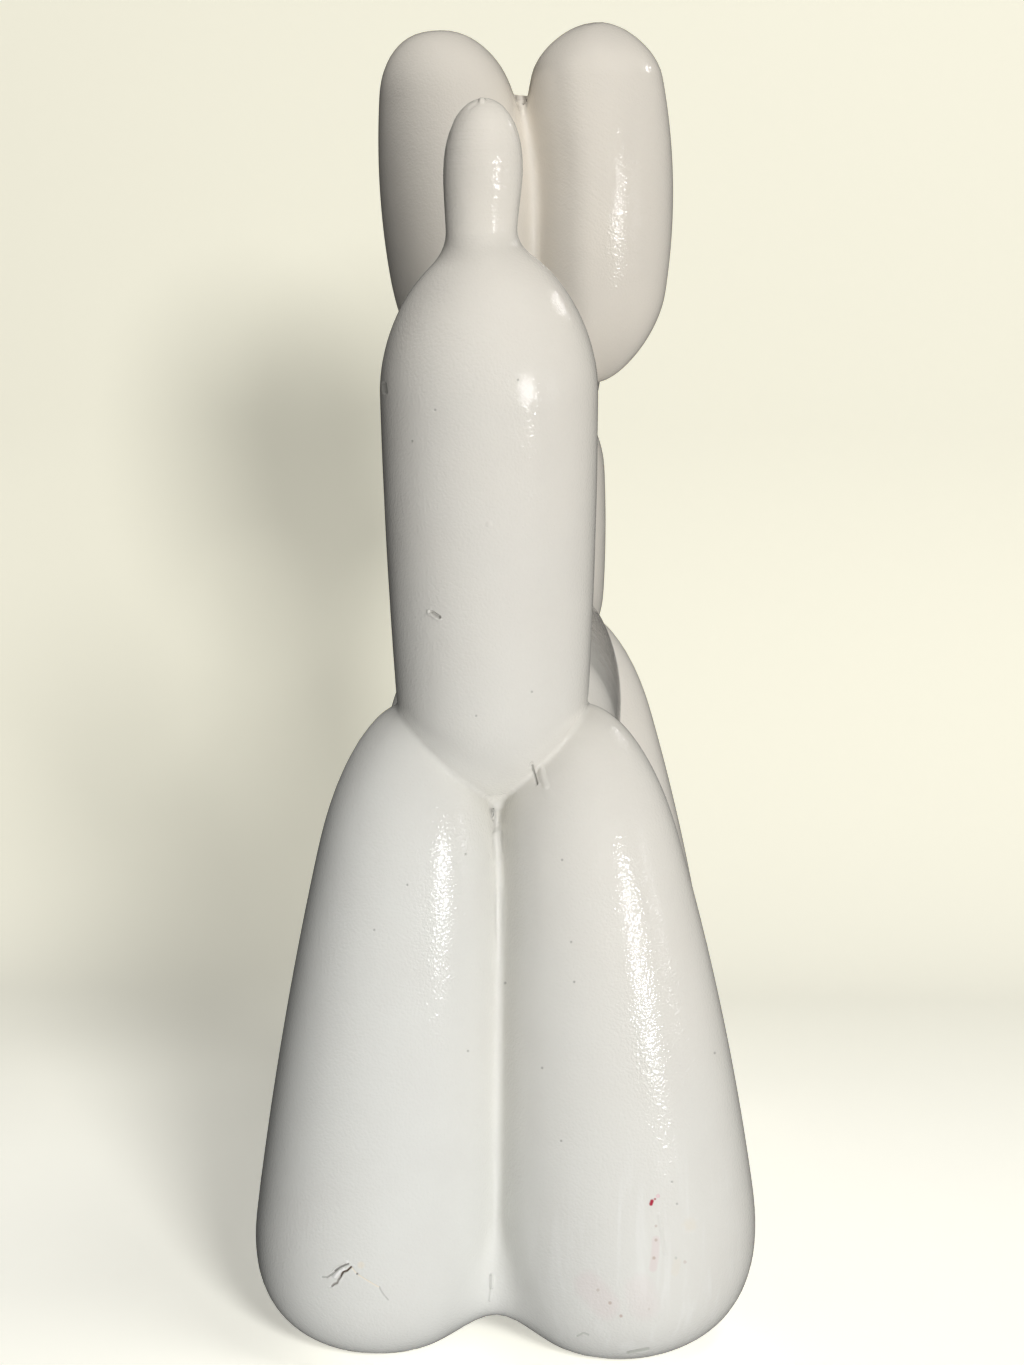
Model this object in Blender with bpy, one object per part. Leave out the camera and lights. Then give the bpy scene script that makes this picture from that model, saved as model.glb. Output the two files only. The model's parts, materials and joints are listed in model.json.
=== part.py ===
"""Balloon dog sculpture, cast as one piece and painted gloss white.

A long balloon twisted into a standing dog: two hind legs, an upright tail with the limp
tip of the balloon on it, a body, two front legs, a neck, two ears and a snout with the
balloon's knot. The casting has fused neighbouring bubbles into one solid. The dog faces
-Y and stands on four small flat soles at Z = 0, with the middle of its footprint at the
origin. Its own left side is at +X.
"""

import math
from typing import NamedTuple

import bmesh
import bpy
from mathutils import Matrix, Vector

# Driving dimensions, in millimetres
MM = 0.001
HEIGHT = 300.0              # floor to the top of the right ear, the tallest point
LEG_SPACING = 170.0         # from the axis of the hind legs to the axis of the front legs
HIP_HEIGHT = 140.5          # where the rounded tops of the legs end
BACK_HEIGHT = 130.2         # the body's axis above the floor
BODY_RADIUS = 25.2
BODY_OVERHANG = 5.0         # how far the body runs past the leg axes at each end
NECK_RADIUS = 21.9
HEAD_HEIGHT = 205.0         # the snout's axis above the floor
SNOUT_RADIUS = 20.5
SNOUT_LENGTH = 92.0
TAIL_TOP = 237.0            # top of the tail's full bubble, under the limp tip
TIP_TOP = 264.3             # top of the limp tip
FOOT_DROP = 1.5             # how much of each foot's dome is cut away for its sole
ARCH_HEIGHT = 8.0           # underside of the web between two feet
FRONT_SHIFT = 0.7           # the front legs stand this much further to the dog's left
LEG_DEPTH = 0.95            # legs are a little flatter from front to back
END_TAPER = 0.87            # radius near the ends of the body and neck, of the middle's

# Where the dog's middle plane lies at its rump, chest and head: the casting leans a little
RUMP_X = 0.0
CHEST_X = -0.9
HEAD_X = -0.6

# The middle of the footprint, in the layout below that starts at the hind legs
FOOTPRINT_X = 0.2
FOOTPRINT_Y = -120.3

# The rolled lip of the balloon's mouth, in front of the knot
KNOT_RADIUS = 5.4
LIP_RADIUS = 6.2
LIP_THROAT = 3.7
LIP_WAIST = 2.8
LIP_LENGTH = 8.5

# Mesh fineness
SEGMENTS = 26
RINGS = 15
SMALL_SEGMENTS = 18
SMALL_RINGS = 9
SHARP_ANGLE = math.radians(38.0)

PAINT_COLOUR = (0.75, 0.745, 0.72, 1.0)
PAINT_ROUGHNESS = 0.16


class Bubble(NamedTuple):
    """One bubble of the balloon, a body of revolution along a straight line.

    start and end are the tips of its two domes. radii are the radii of the curve that
    carries the wall, at the start, middle and end. caps are the lengths of the two domes,
    power is their fullness (2 is an ellipse), bend is how far the middle leans to +X,
    and depth squeezes it from front to back.
    """

    start: tuple
    end: tuple
    radii: tuple
    caps: tuple
    power: float = 2.0
    bend: float = 0.0
    depth: float = 1.0
    small: bool = False


FRONT_Y = -LEG_SPACING
EAR_Y = FRONT_Y + 2.0
SNOUT_BACK_Y = FRONT_Y + 4.0
SNOUT_FRONT_Y = SNOUT_BACK_Y - SNOUT_LENGTH


def leg(side, y, shift):
    """A leg, spread outwards and thicker towards the foot. The right one is the fatter."""
    if side == "left":
        top_x, foot_x, bend = 18.7, 29.8, -0.9
        radii, caps, power = (13.9, 24.4, 27.3), (35.0, 30.3), 2.55
    else:
        top_x, foot_x, bend = -13.5, -28.2, -0.8
        radii, caps, power = (13.7, 25.5, 29.9), (31.5, 35.3), 2.6
    return Bubble(
        start=(top_x + shift, y, HIP_HEIGHT),
        end=(foot_x + shift, y, -FOOT_DROP),
        radii=radii, caps=caps, power=power, bend=bend, depth=LEG_DEPTH)


def web(x, y, top, bottom, radius, depth):
    """The narrow web that fills the groove between two fused bubbles."""
    return Bubble(
        start=(x, y, top), end=(x, y, bottom), radii=(radius, radius, radius),
        caps=(radius * 1.4, radius), depth=depth, small=True)


def twist(x, y, z, radius):
    """The filled pinch where the bubbles of one twist meet."""
    return Bubble(
        start=(x, y, z + radius), end=(x, y, z - radius), radii=(radius, radius, radius),
        caps=(radius, radius), small=True)


BUBBLES = {
    "body": Bubble(
        start=(RUMP_X, BODY_OVERHANG, BACK_HEIGHT),
        end=(CHEST_X, FRONT_Y - BODY_OVERHANG, BACK_HEIGHT),
        radii=(BODY_RADIUS * END_TAPER, BODY_RADIUS, BODY_RADIUS * END_TAPER),
        caps=(28.0, 28.0)),
    "tail": Bubble(
        start=(2.1, -3.0, 117.5), end=(4.8, 10.6, TAIL_TOP),
        radii=(17.7, 22.1, 21.5), caps=(26.0, 31.0)),
    "limp_tip": Bubble(
        start=(6.0, 9.0, TAIL_TOP - 12.0), end=(4.9, 11.5, TIP_TOP),
        radii=(6.1, 7.7, 9.4), caps=(10.0, 17.4), small=True),
    "hind_left_leg": leg("left", 0.0, 0.0),
    "hind_right_leg": leg("right", 0.0, 0.0),
    "front_left_leg": leg("left", FRONT_Y, FRONT_SHIFT),
    "front_right_leg": leg("right", FRONT_Y, FRONT_SHIFT),
    "neck": Bubble(
        start=(CHEST_X, FRONT_Y, BACK_HEIGHT - 10.0), end=(HEAD_X, FRONT_Y, 206.5),
        radii=(NECK_RADIUS * END_TAPER, NECK_RADIUS, NECK_RADIUS * END_TAPER),
        caps=(26.0, 26.0)),
    "left_ear": Bubble(
        start=(17.1, EAR_Y, 202.7), end=(24.8, EAR_Y + 4.0, 297.5),
        radii=(12.0, 21.0, 13.3), caps=(32.5, 16.9), power=2.6, bend=-2.9),
    "right_ear": Bubble(
        start=(-18.5, EAR_Y, 204.0), end=(-19.0, EAR_Y + 4.0, HEIGHT),
        radii=(14.3, 21.1, 14.1), caps=(24.7, 14.0), power=1.95),
    "snout": Bubble(
        start=(HEAD_X, SNOUT_BACK_Y, HEAD_HEIGHT), end=(HEAD_X, SNOUT_FRONT_Y, HEAD_HEIGHT),
        radii=(SNOUT_RADIUS * END_TAPER, SNOUT_RADIUS, SNOUT_RADIUS * 0.92),
        caps=(26.0, 24.0)),
    "knot": Bubble(
        start=(HEAD_X, SNOUT_FRONT_Y + 4.0, HEAD_HEIGHT),
        end=(HEAD_X, SNOUT_FRONT_Y - 5.0, HEAD_HEIGHT),
        radii=(KNOT_RADIUS, KNOT_RADIUS, KNOT_RADIUS), caps=(4.5, 4.5), small=True),
    "hind_web": web(1.5, 0.0, 74.0, ARCH_HEIGHT, 7.0, 1.55),
    "front_web": web(1.5 + FRONT_SHIFT, FRONT_Y, 74.0, ARCH_HEIGHT, 7.0, 1.55),
    "ear_web": web(-0.2, EAR_Y + 2.0, 286.0, 214.0, 4.5, 2.1),
    "hind_twist": twist(1.0, -2.0, 128.0, 15.0),
    "front_twist": twist(1.0, FRONT_Y, 128.0, 15.0),
    "head_twist": twist(HEAD_X, FRONT_Y + 1.0, 208.0, 13.0),
}


def radius_at(bubble, share, length):
    """Radius of a bubble at a share of its length, 0 at the start and 1 at the end."""
    first, middle, last = bubble.radii
    core = (first * (1 - share) * (1 - 2 * share) + 4 * middle * share * (1 - share)
            + last * share * (2 * share - 1))
    radius = core
    for gap, cap in ((share * length, bubble.caps[0]), ((1 - share) * length, bubble.caps[1])):
        if gap < cap:
            fall = ((cap - gap) / cap) ** bubble.power
            radius *= max(1 - fall, 0.0) ** (1 / bubble.power)
    return radius


def new_object(name, bm):
    """An object that holds a finished bmesh."""
    mesh = bpy.data.meshes.new(name)
    bm.to_mesh(mesh)
    bm.free()
    obj = bpy.data.objects.new(name, mesh)
    bpy.context.collection.objects.link(obj)
    return obj


def make_bubble(name, bubble):
    """Stretch a UV sphere into one bubble of the balloon."""
    start, end = Vector(bubble.start), Vector(bubble.end)
    axis = end - start
    length = axis.length
    turn = Vector((0, 0, 1)).rotation_difference(axis)
    segments = SMALL_SEGMENTS if bubble.small else SEGMENTS
    rings = SMALL_RINGS if bubble.small else RINGS
    bm = bmesh.new()
    bmesh.ops.create_uvsphere(bm, u_segments=segments, v_segments=rings, radius=1.0)
    for vert in bm.verts:
        share = min(max((vert.co.z + 1) / 2, 0.0), 1.0)
        ring = Vector((vert.co.x, vert.co.y, 0)).normalized() * radius_at(bubble, share, length)
        ring.y *= bubble.depth
        centre = start + axis * share
        centre.x += bubble.bend * 4 * share * (1 - share)
        vert.co = (centre + turn @ ring) * MM
    bmesh.ops.recalc_face_normals(bm, faces=bm.faces)
    return new_object(name, bm)


def make_lip(name):
    """Turn the flared, rolled mouth of the balloon around the snout's axis."""
    back = SNOUT_FRONT_Y - 3.5
    # Radius, and the share of the lip's length in front of its back end
    profile = [
        (0.0, 0.0), (LIP_WAIST, 0.0), (LIP_WAIST, 0.25), (LIP_THROAT, 0.6),
        (LIP_RADIUS, 0.85), (LIP_RADIUS, 1.0), (LIP_THROAT, 0.92), (0.0, 0.8)]
    centre = Vector((HEAD_X, back, HEAD_HEIGHT)) * MM
    bm = bmesh.new()
    verts = [bm.verts.new(centre + Vector((radius, -share * LIP_LENGTH, 0)) * MM)
             for radius, share in profile]
    edges = [bm.edges.new(pair) for pair in zip(verts, verts[1:])]
    bmesh.ops.spin(
        bm, geom=verts + edges, cent=centre, axis=(0, 1, 0),
        angle=math.tau, steps=SMALL_SEGMENTS, use_merge=True)
    bmesh.ops.remove_doubles(bm, verts=bm.verts, dist=0.00001)
    bmesh.ops.recalc_face_normals(bm, faces=bm.faces)
    return new_object(name, bm)


def make_floor_block(name):
    """The block under the floor that cuts the soles flat."""
    bm = bmesh.new()
    bmesh.ops.create_cube(bm, size=1.0)
    size = Vector((200.0, 400.0, 40.0))
    bmesh.ops.transform(
        bm, verts=bm.verts,
        matrix=Matrix.Translation(Vector((0, FOOTPRINT_Y, -size.z / 2)) * MM)
        @ Matrix.Diagonal((size * MM).to_4d()))
    return new_object(name, bm)


def add_boolean(target, tool, operation):
    """Join or cut with another object, which stays as a hidden guide."""
    modifier = target.modifiers.new(tool.name, "BOOLEAN")
    modifier.operation = operation
    modifier.solver = "EXACT"
    modifier.object = tool
    tool.hide_render = True
    tool.display_type = "WIRE"


def paint():
    """Gloss white paint."""
    material = bpy.data.materials.new("gloss_white_paint")
    material.use_nodes = True
    shader = material.node_tree.nodes["Principled BSDF"]
    shader.inputs["Base Color"].default_value = PAINT_COLOUR
    shader.inputs["Roughness"].default_value = PAINT_ROUGHNESS
    shader.inputs["Metallic"].default_value = 0.0
    return material


def clear_scene():
    for obj in list(bpy.data.objects):
        bpy.data.objects.remove(obj)


def main():
    clear_scene()
    frame = bpy.data.objects.new("footprint_centre", None)
    frame.location = Vector((-FOOTPRINT_X, -FOOTPRINT_Y, 0)) * MM
    bpy.context.collection.objects.link(frame)

    dog = make_bubble("balloon_dog", BUBBLES["body"])
    dog.parent = frame
    joined = [make_bubble("bubble_" + name, bubble)
              for name, bubble in BUBBLES.items() if name != "body"]
    joined.append(make_lip("bubble_lip"))
    for tool in joined:
        tool.parent = frame
        add_boolean(dog, tool, "UNION")
    floor_block = make_floor_block("floor_block")
    floor_block.parent = frame
    add_boolean(dog, floor_block, "DIFFERENCE")
    dog.data.materials.append(paint())
    for obj in [dog] + joined:
        obj.data.shade_smooth()
    dog.data.set_sharp_from_angle(angle=SHARP_ANGLE)


main()
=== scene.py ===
"""Looks of the balloon dog: one casting of twisted balloon bubbles, in gloss white paint.

The casting is drawn from the same bubbles as its solid. They are fused with the soft and
tight hollows of a casting, worn and chipped as the photograph shows, and painted.
"""

import json
import math
from contextlib import contextmanager
from typing import NamedTuple

import bpy
import numpy as np
from mathutils import Matrix, Vector
from mathutils.bvhtree import BVHTree

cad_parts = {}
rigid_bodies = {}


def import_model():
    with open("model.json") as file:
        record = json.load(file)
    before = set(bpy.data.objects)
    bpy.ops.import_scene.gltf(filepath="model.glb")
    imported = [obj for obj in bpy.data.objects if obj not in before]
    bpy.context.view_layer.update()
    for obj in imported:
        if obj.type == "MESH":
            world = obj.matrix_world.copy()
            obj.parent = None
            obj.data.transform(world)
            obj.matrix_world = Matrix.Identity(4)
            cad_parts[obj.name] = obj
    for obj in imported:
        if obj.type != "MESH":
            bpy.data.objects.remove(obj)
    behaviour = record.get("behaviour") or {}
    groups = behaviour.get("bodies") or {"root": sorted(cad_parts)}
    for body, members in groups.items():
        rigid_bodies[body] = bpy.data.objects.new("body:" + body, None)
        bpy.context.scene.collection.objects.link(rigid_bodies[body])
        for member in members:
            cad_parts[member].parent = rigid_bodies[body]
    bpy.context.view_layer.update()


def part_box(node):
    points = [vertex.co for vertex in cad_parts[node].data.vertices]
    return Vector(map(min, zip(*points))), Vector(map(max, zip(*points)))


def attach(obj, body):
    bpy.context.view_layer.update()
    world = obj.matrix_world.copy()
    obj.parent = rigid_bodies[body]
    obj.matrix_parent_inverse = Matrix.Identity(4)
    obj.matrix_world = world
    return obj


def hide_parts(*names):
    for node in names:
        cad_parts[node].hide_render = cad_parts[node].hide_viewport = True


bl_info = {
    "name": "Balloon Dog Casting",
    "version": (1, 0, 0),
    "blender": (4, 5, 0),
    "location": "View3D > Sidebar > Balloon Dog",
    "description": "Builds a painted casting of a balloon dog on its CAD frame, and its stage",
    "category": "Object",
}

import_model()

MM = 0.001
NODE = "balloon_dog"
BODY = "root"
CAD_TOP = Vector(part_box(NODE)[1]).z

# The photograph's frame, in its own pixels, and its camera's focal length in the same
PHOTO_WIDTH = 1024
PHOTO_HEIGHT = 1365
PHOTO_FOCAL = 2520.0
SENSOR_HEIGHT = 24.0

# The middle of the footprint, in the layout below that starts at the hind legs, in mm
FOOTPRINT = Vector((0.2, -120.3, 0.0))

# Where the dog's middle plane lies at its rump, chest and head, in mm
RUMP_X = 0.0
CHEST_X = -0.9
HEAD_X = -0.6

# The ends of the body, neck and snout as a share of their radius, the legs' depth as a share
# of their width, and how far behind the front legs' axis the ears and the snout begin, in mm
END_TAPER = 0.87
LEG_DEPTH = 0.95
EAR_SETBACK = 2.0
SNOUT_SETBACK = 4.0

# The two front feet stand a little to the dog's left of the hind ones, and the top of the
# front left leg leans in, so that it stays hidden behind the tail. In mm
FRONT_SHIFT = 0.7
SHOULDER_LEAN = 4.0


# Sizes and colours that a user may change

def length_property(name, default, description):
    """A length in metres."""
    return bpy.props.FloatProperty(
        name=name, description=description, default=default, unit="LENGTH", subtype="DISTANCE")


def colour_property(name, default, description):
    """A colour of paint or paper."""
    return bpy.props.FloatVectorProperty(
        name=name, description=description, default=default, size=3, subtype="COLOR")


def light_property(name, description):
    """A share of the stage's own light, 1 for all of it."""
    return bpy.props.FloatProperty(
        name=name, description=description, default=1.0, min=0.0, subtype="FACTOR")


class CastingSizes(bpy.types.PropertyGroup):
    """Sizes of the casting."""

    height: length_property("Height", CAD_TOP, "Floor to the top of the right ear")
    leg_spacing: length_property(
        "Leg spacing", 0.170, "Axis of the hind legs to the axis of the front legs")
    hip_height: length_property("Hip height", 0.1405, "Where the rounded tops of the legs end")
    back_height: length_property("Back height", 0.1302, "The body's axis above the floor")
    body_radius: length_property("Body radius", 0.0252, "Radius of the body's bubble")
    neck_radius: length_property("Neck radius", 0.0219, "Radius of the neck's bubble")
    head_height: length_property("Head height", 0.205, "The snout's axis above the floor")
    snout_radius: length_property("Snout radius", 0.0205, "Radius of the snout's bubble")
    snout_length: length_property("Snout length", 0.092, "Length of the snout's bubble")
    tail_top: length_property("Tail top", 0.237, "Top of the tail's full bubble")
    tip_top: length_property("Tip top", 0.2650, "Top of the balloon's limp tip")
    grid: length_property("Mesh grid", 0.0024, "Side of the mesh's faces on plain skin")
    crease: length_property(
        "Crease", 0.0010, "Width of the hollow where two bubbles press together")
    leg_cleft: length_property("Leg cleft", 0.0026, "Width of the hollow between two legs")
    foot_arch: length_property("Foot arch", 0.0165, "Width of the filled hollow between two feet")
    ear_cleft: length_property("Ear cleft", 0.0036, "Width of the hollow between the ears")
    tip_shoulder: length_property(
        "Tip shoulder", 0.0042, "Width of the hollow between the limp tip and the tail")


class PaintLook(bpy.types.PropertyGroup):
    """Colours and gloss of the paint and of what is on it."""

    cool_white: colour_property("Cool white", (0.765, 0.765, 0.722), "The paint low on the legs")
    warm_white: colour_property(
        "Warm white", (0.79, 0.735, 0.645), "The paint on the ears and the tail")
    thin_paint: colour_property(
        "Thin paint", (0.60, 0.56, 0.52), "The paint where it clouds over the casting")
    thick_paint: colour_property(
        "Thick paint", (0.88, 0.88, 0.85), "The paint in the runs of the brush")
    roughness: bpy.props.FloatProperty(
        name="Roughness", description="How blurred the paint's reflections are",
        default=0.08, min=0.0, max=1.0, subtype="FACTOR")
    grain_height: length_property("Grain height", 0.00003, "Height of the grain in the paint")


class StageLook(bpy.types.PropertyGroup):
    """The floor and the lights."""

    floor_colour: colour_property(
        "Floor", (1.0, 0.985, 0.89), "Colour of the floor around the dog")
    wall_colour: colour_property(
        "Wall", (0.837, 0.813, 0.675), "Colour of the wall behind the dog")
    dog_light: light_property("Light on the dog", "Share of the soft light on the dog")
    gloss_light: light_property("Gloss", "Share of the light in the gloss of the paint")
    sheet_light: light_property(
        "Light on the backdrop", "Share of the light on the floor and the wall")


# The bubbles and the distance to their walls

class Flank(NamedTuple):
    """A flat side of a bubble.

    turn is which way it faces, in degrees from the back to +X, and share how far out it lies,
    as a share of the radius. It comes in over the first and last shares of the length, and
    edge is how round its edge is in mm.
    """

    turn: float
    share: float
    first: float
    last: float
    edge: float


RIGHT_LEG_FLANK = Flank(turn=60.0, share=0.92, first=0.30, last=0.12, edge=6.0)
RIGHT_EAR_FLANK = Flank(turn=54.0, share=0.87, first=0.20, last=0.45, edge=4.0)


class Bubble(NamedTuple):
    """One bubble of the balloon, a body of revolution along a straight line, in mm.

    start and end are the tips of its two domes. radii are the radii of the curve that
    carries the wall, at the start, middle and end. caps are the lengths of the two domes,
    power is their fullness (2 is an ellipse), bend is how far the middle leans to +X,
    and depth squeezes it from front to back. flank is its flat inner side, where it presses
    on its neighbour at +X.
    """

    start: tuple
    end: tuple
    radii: tuple
    caps: tuple
    power: float = 2.0
    bend: float = 0.0
    depth: float = 1.0
    flank: tuple = ()


def leg(sizes, side, y, shift=0.0, lean=0.0, flank=()):
    """A leg, spread outwards and thicker towards the foot. The right one is the fatter."""
    if side == "left":
        top_x, foot_x, bend = 18.7, 29.8, -0.9
        radii, caps, power = (13.9, 24.4, 27.3), (35.0, 30.3), 2.55
    else:
        top_x, foot_x, bend = -13.5, -28.2, -0.8
        radii, caps, power = (13.7, 25.5, 29.9), (31.5, 35.3), 2.6
    return Bubble(
        start=(top_x + shift - lean, y, sizes.hip_height / MM), end=(foot_x + shift, y, -1.5),
        radii=radii, caps=caps, power=power, bend=bend, depth=LEG_DEPTH, flank=flank)


def twist(x, y, z, radius):
    """The filled pinch where the bubbles of one twist meet."""
    return Bubble(
        start=(x, y, z + radius), end=(x, y, z - radius), radii=(radius, radius, radius),
        caps=(radius, radius))


def bubbles(sizes):
    """Every bubble of the balloon by name, in mm, as the solid has them or within 4 mm."""
    front_y = -sizes.leg_spacing / MM
    ear_y = front_y + EAR_SETBACK
    snout_back = front_y + SNOUT_SETBACK
    snout_front = snout_back - sizes.snout_length / MM
    back, head = sizes.back_height / MM, sizes.head_height / MM
    body, neck, snout = (r / MM for r in (sizes.body_radius, sizes.neck_radius, sizes.snout_radius))
    tail_top, tip_top = sizes.tail_top / MM, sizes.tip_top / MM
    return {
        "body": Bubble(
            start=(RUMP_X, 5.0, back), end=(CHEST_X, front_y - 5.0, back),
            radii=(body * END_TAPER, body, body * END_TAPER), caps=(28.0, 28.0)),
        "tail": Bubble(
            start=(2.9, -2.6, 120.0), end=(4.3, 11.3, tail_top),
            radii=(18.9, 21.9, 22.3), caps=(23.0, 31.0), power=1.86),
        "limp_tip": Bubble(
            start=(6.0, 9.0, tail_top - 12.0), end=(4.9, 11.5, tip_top),
            radii=(6.1, 7.7, 9.4), caps=(10.0, 17.4)),
        "hind_left_leg": leg(sizes, "left", 0.0),
        "hind_right_leg": leg(sizes, "right", 0.0, flank=RIGHT_LEG_FLANK),
        "front_left_leg": leg(sizes, "left", front_y, FRONT_SHIFT, lean=SHOULDER_LEAN),
        "front_right_leg": leg(sizes, "right", front_y, FRONT_SHIFT),
        "neck": Bubble(
            start=(CHEST_X, front_y, back - 10.0), end=(HEAD_X, front_y, 206.5),
            radii=(neck * END_TAPER, neck, neck * END_TAPER), caps=(26.0, 26.0)),
        "left_ear": Bubble(
            start=(17.1, ear_y, 202.7), end=(24.8, ear_y + 4.0, 297.5),
            radii=(12.0, 21.0, 13.3), caps=(32.5, 16.9), power=2.6, bend=-2.9),
        "right_ear": Bubble(
            start=(-18.5, ear_y, 204.0), end=(-19.0, ear_y + 4.0, sizes.height / MM),
            radii=(14.3, 21.1, 14.1), caps=(24.7, 14.0), power=1.95, flank=RIGHT_EAR_FLANK),
        "snout": Bubble(
            start=(HEAD_X, snout_back, head), end=(HEAD_X, snout_front, head),
            radii=(snout * END_TAPER, snout, snout * 0.92), caps=(26.0, 24.0)),
        "hind_twist": twist(1.0, -5.0, 126.0, 10.0),
        "front_twist": twist(1.0, front_y, 128.0, 15.0),
        "head_twist": twist(HEAD_X, front_y + 1.0, 208.0, 13.0),
    }


def wall_radius(bubble, share, length):
    """Radius of a bubble's wall at shares of its length, 0 at the start and 1 at the end."""
    first, middle, last = bubble.radii
    radius = (first * (1 - share) * (1 - 2 * share) + 4 * middle * share * (1 - share)
              + last * share * (2 * share - 1))
    for gap, cap in ((share * length, bubble.caps[0]), ((1 - share) * length, bubble.caps[1])):
        fall = np.clip((cap - gap) / cap, 0.0, 1.0) ** bubble.power
        radius = radius * (1 - fall) ** (1 / bubble.power)
    return radius


class Wall:
    """Distance to a bubble's wall, looked up over its half section. All in mm.

    CELL is the spacing of the table, MARGIN how far it reaches beyond the wall, and STATIONS
    the number of points along the wall's curve.
    """

    CELL = 0.4
    MARGIN = 14.0
    STATIONS = 260

    def __init__(self, bubble):
        self.bubble = bubble
        self.start = np.array(bubble.start)
        axis = np.array(bubble.end) - self.start
        self.length = float(np.linalg.norm(axis))
        self.axis = axis / self.length
        across = (0.0, 1.0, 0.0) if abs(self.axis[1]) < 0.8 else (0.0, 0.0, 1.0)
        side = np.cross(self.axis, across)
        self.side = side / np.linalg.norm(side)
        self.other = np.cross(self.side, self.axis)
        self.table = self.measure()

    def measure(self):
        """Signed distances on a grid along and away from the axis."""
        share = 0.5 - 0.5 * np.cos(np.linspace(0.0, math.pi, self.STATIONS))
        rim = np.stack([share * self.length, wall_radius(self.bubble, share, self.length)], 1)
        first, step = rim[:-1], np.diff(rim, axis=0)
        span = (step ** 2).sum(1)
        away = np.arange(0.0, rim[:, 1].max() + self.MARGIN, self.CELL)
        along = np.arange(-self.MARGIN, self.length + self.MARGIN, self.CELL)
        table = np.empty((len(along), len(away)))
        for row, place in enumerate(along):
            gap_s = place - first[:, 0]
            gap_r = away[:, None] - first[None, :, 1]
            reach = np.clip((gap_s * step[:, 0] + gap_r * step[:, 1]) / span, 0.0, 1.0)
            far = (gap_s - reach * step[:, 0]) ** 2 + (gap_r - reach * step[:, 1]) ** 2
            wall = np.interp(place, rim[:, 0], rim[:, 1], left=-1.0, right=-1.0)
            table[row] = np.sqrt(far.min(1)) * np.where(away < wall, -1.0, 1.0)
        return table

    def distance(self, points):
        """Signed distance of each point to the wall, negative inside."""
        gap = points - self.start
        along = gap @ self.axis
        share = along / self.length
        gap = gap - np.outer(self.bubble.bend * 4 * share * (1 - share), (1.0, 0.0, 0.0))
        away = np.hypot(gap @ self.side, (gap @ self.other) / self.bubble.depth)
        row = (along + self.MARGIN) / self.CELL
        column = away / self.CELL
        rows, columns = self.table.shape
        row_in, column_in = np.clip(row, 0, rows - 1.001), np.clip(column, 0, columns - 1.001)
        i, j = row_in.astype(int), column_in.astype(int)
        a, b = row_in - i, column_in - j
        near = ((1 - a) * ((1 - b) * self.table[i, j] + b * self.table[i, j + 1])
                + a * ((1 - b) * self.table[i + 1, j] + b * self.table[i + 1, j + 1]))
        near = near + self.CELL * np.hypot(row - row_in, column - column_in)
        return self.flatten(near, gap, np.clip(share, 0.0, 1.0)) if self.bubble.flank else near

    def flatten(self, near, gap, share):
        """Cut the flank off a distance, at points by their gap from the start and their share."""
        flank = self.bubble.flank
        fade = soft_step(share / flank.first) * soft_step((1 - share) / flank.last)
        radius = wall_radius(self.bubble, share, self.length)
        out = (1 - (1 - flank.share) * fade) * radius + flank.edge * (1 - fade)
        turn = math.radians(flank.turn)
        return -blend(-near, out - gap @ (math.sin(turn), math.cos(turn), 0.0), flank.edge)


def blend(one, two, width):
    """Union of two distances with a hollow fillet of a given width where they meet."""
    near = np.maximum(width - np.abs(one - two), 0.0) / width
    return np.minimum(one, two) - near * near * width / 4


def soft_step(value):
    """0 below 0, 1 above 1, and smooth between them."""
    value = np.clip(value, 0.0, 1.0)
    return value * value * (3 - 2 * value)


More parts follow.
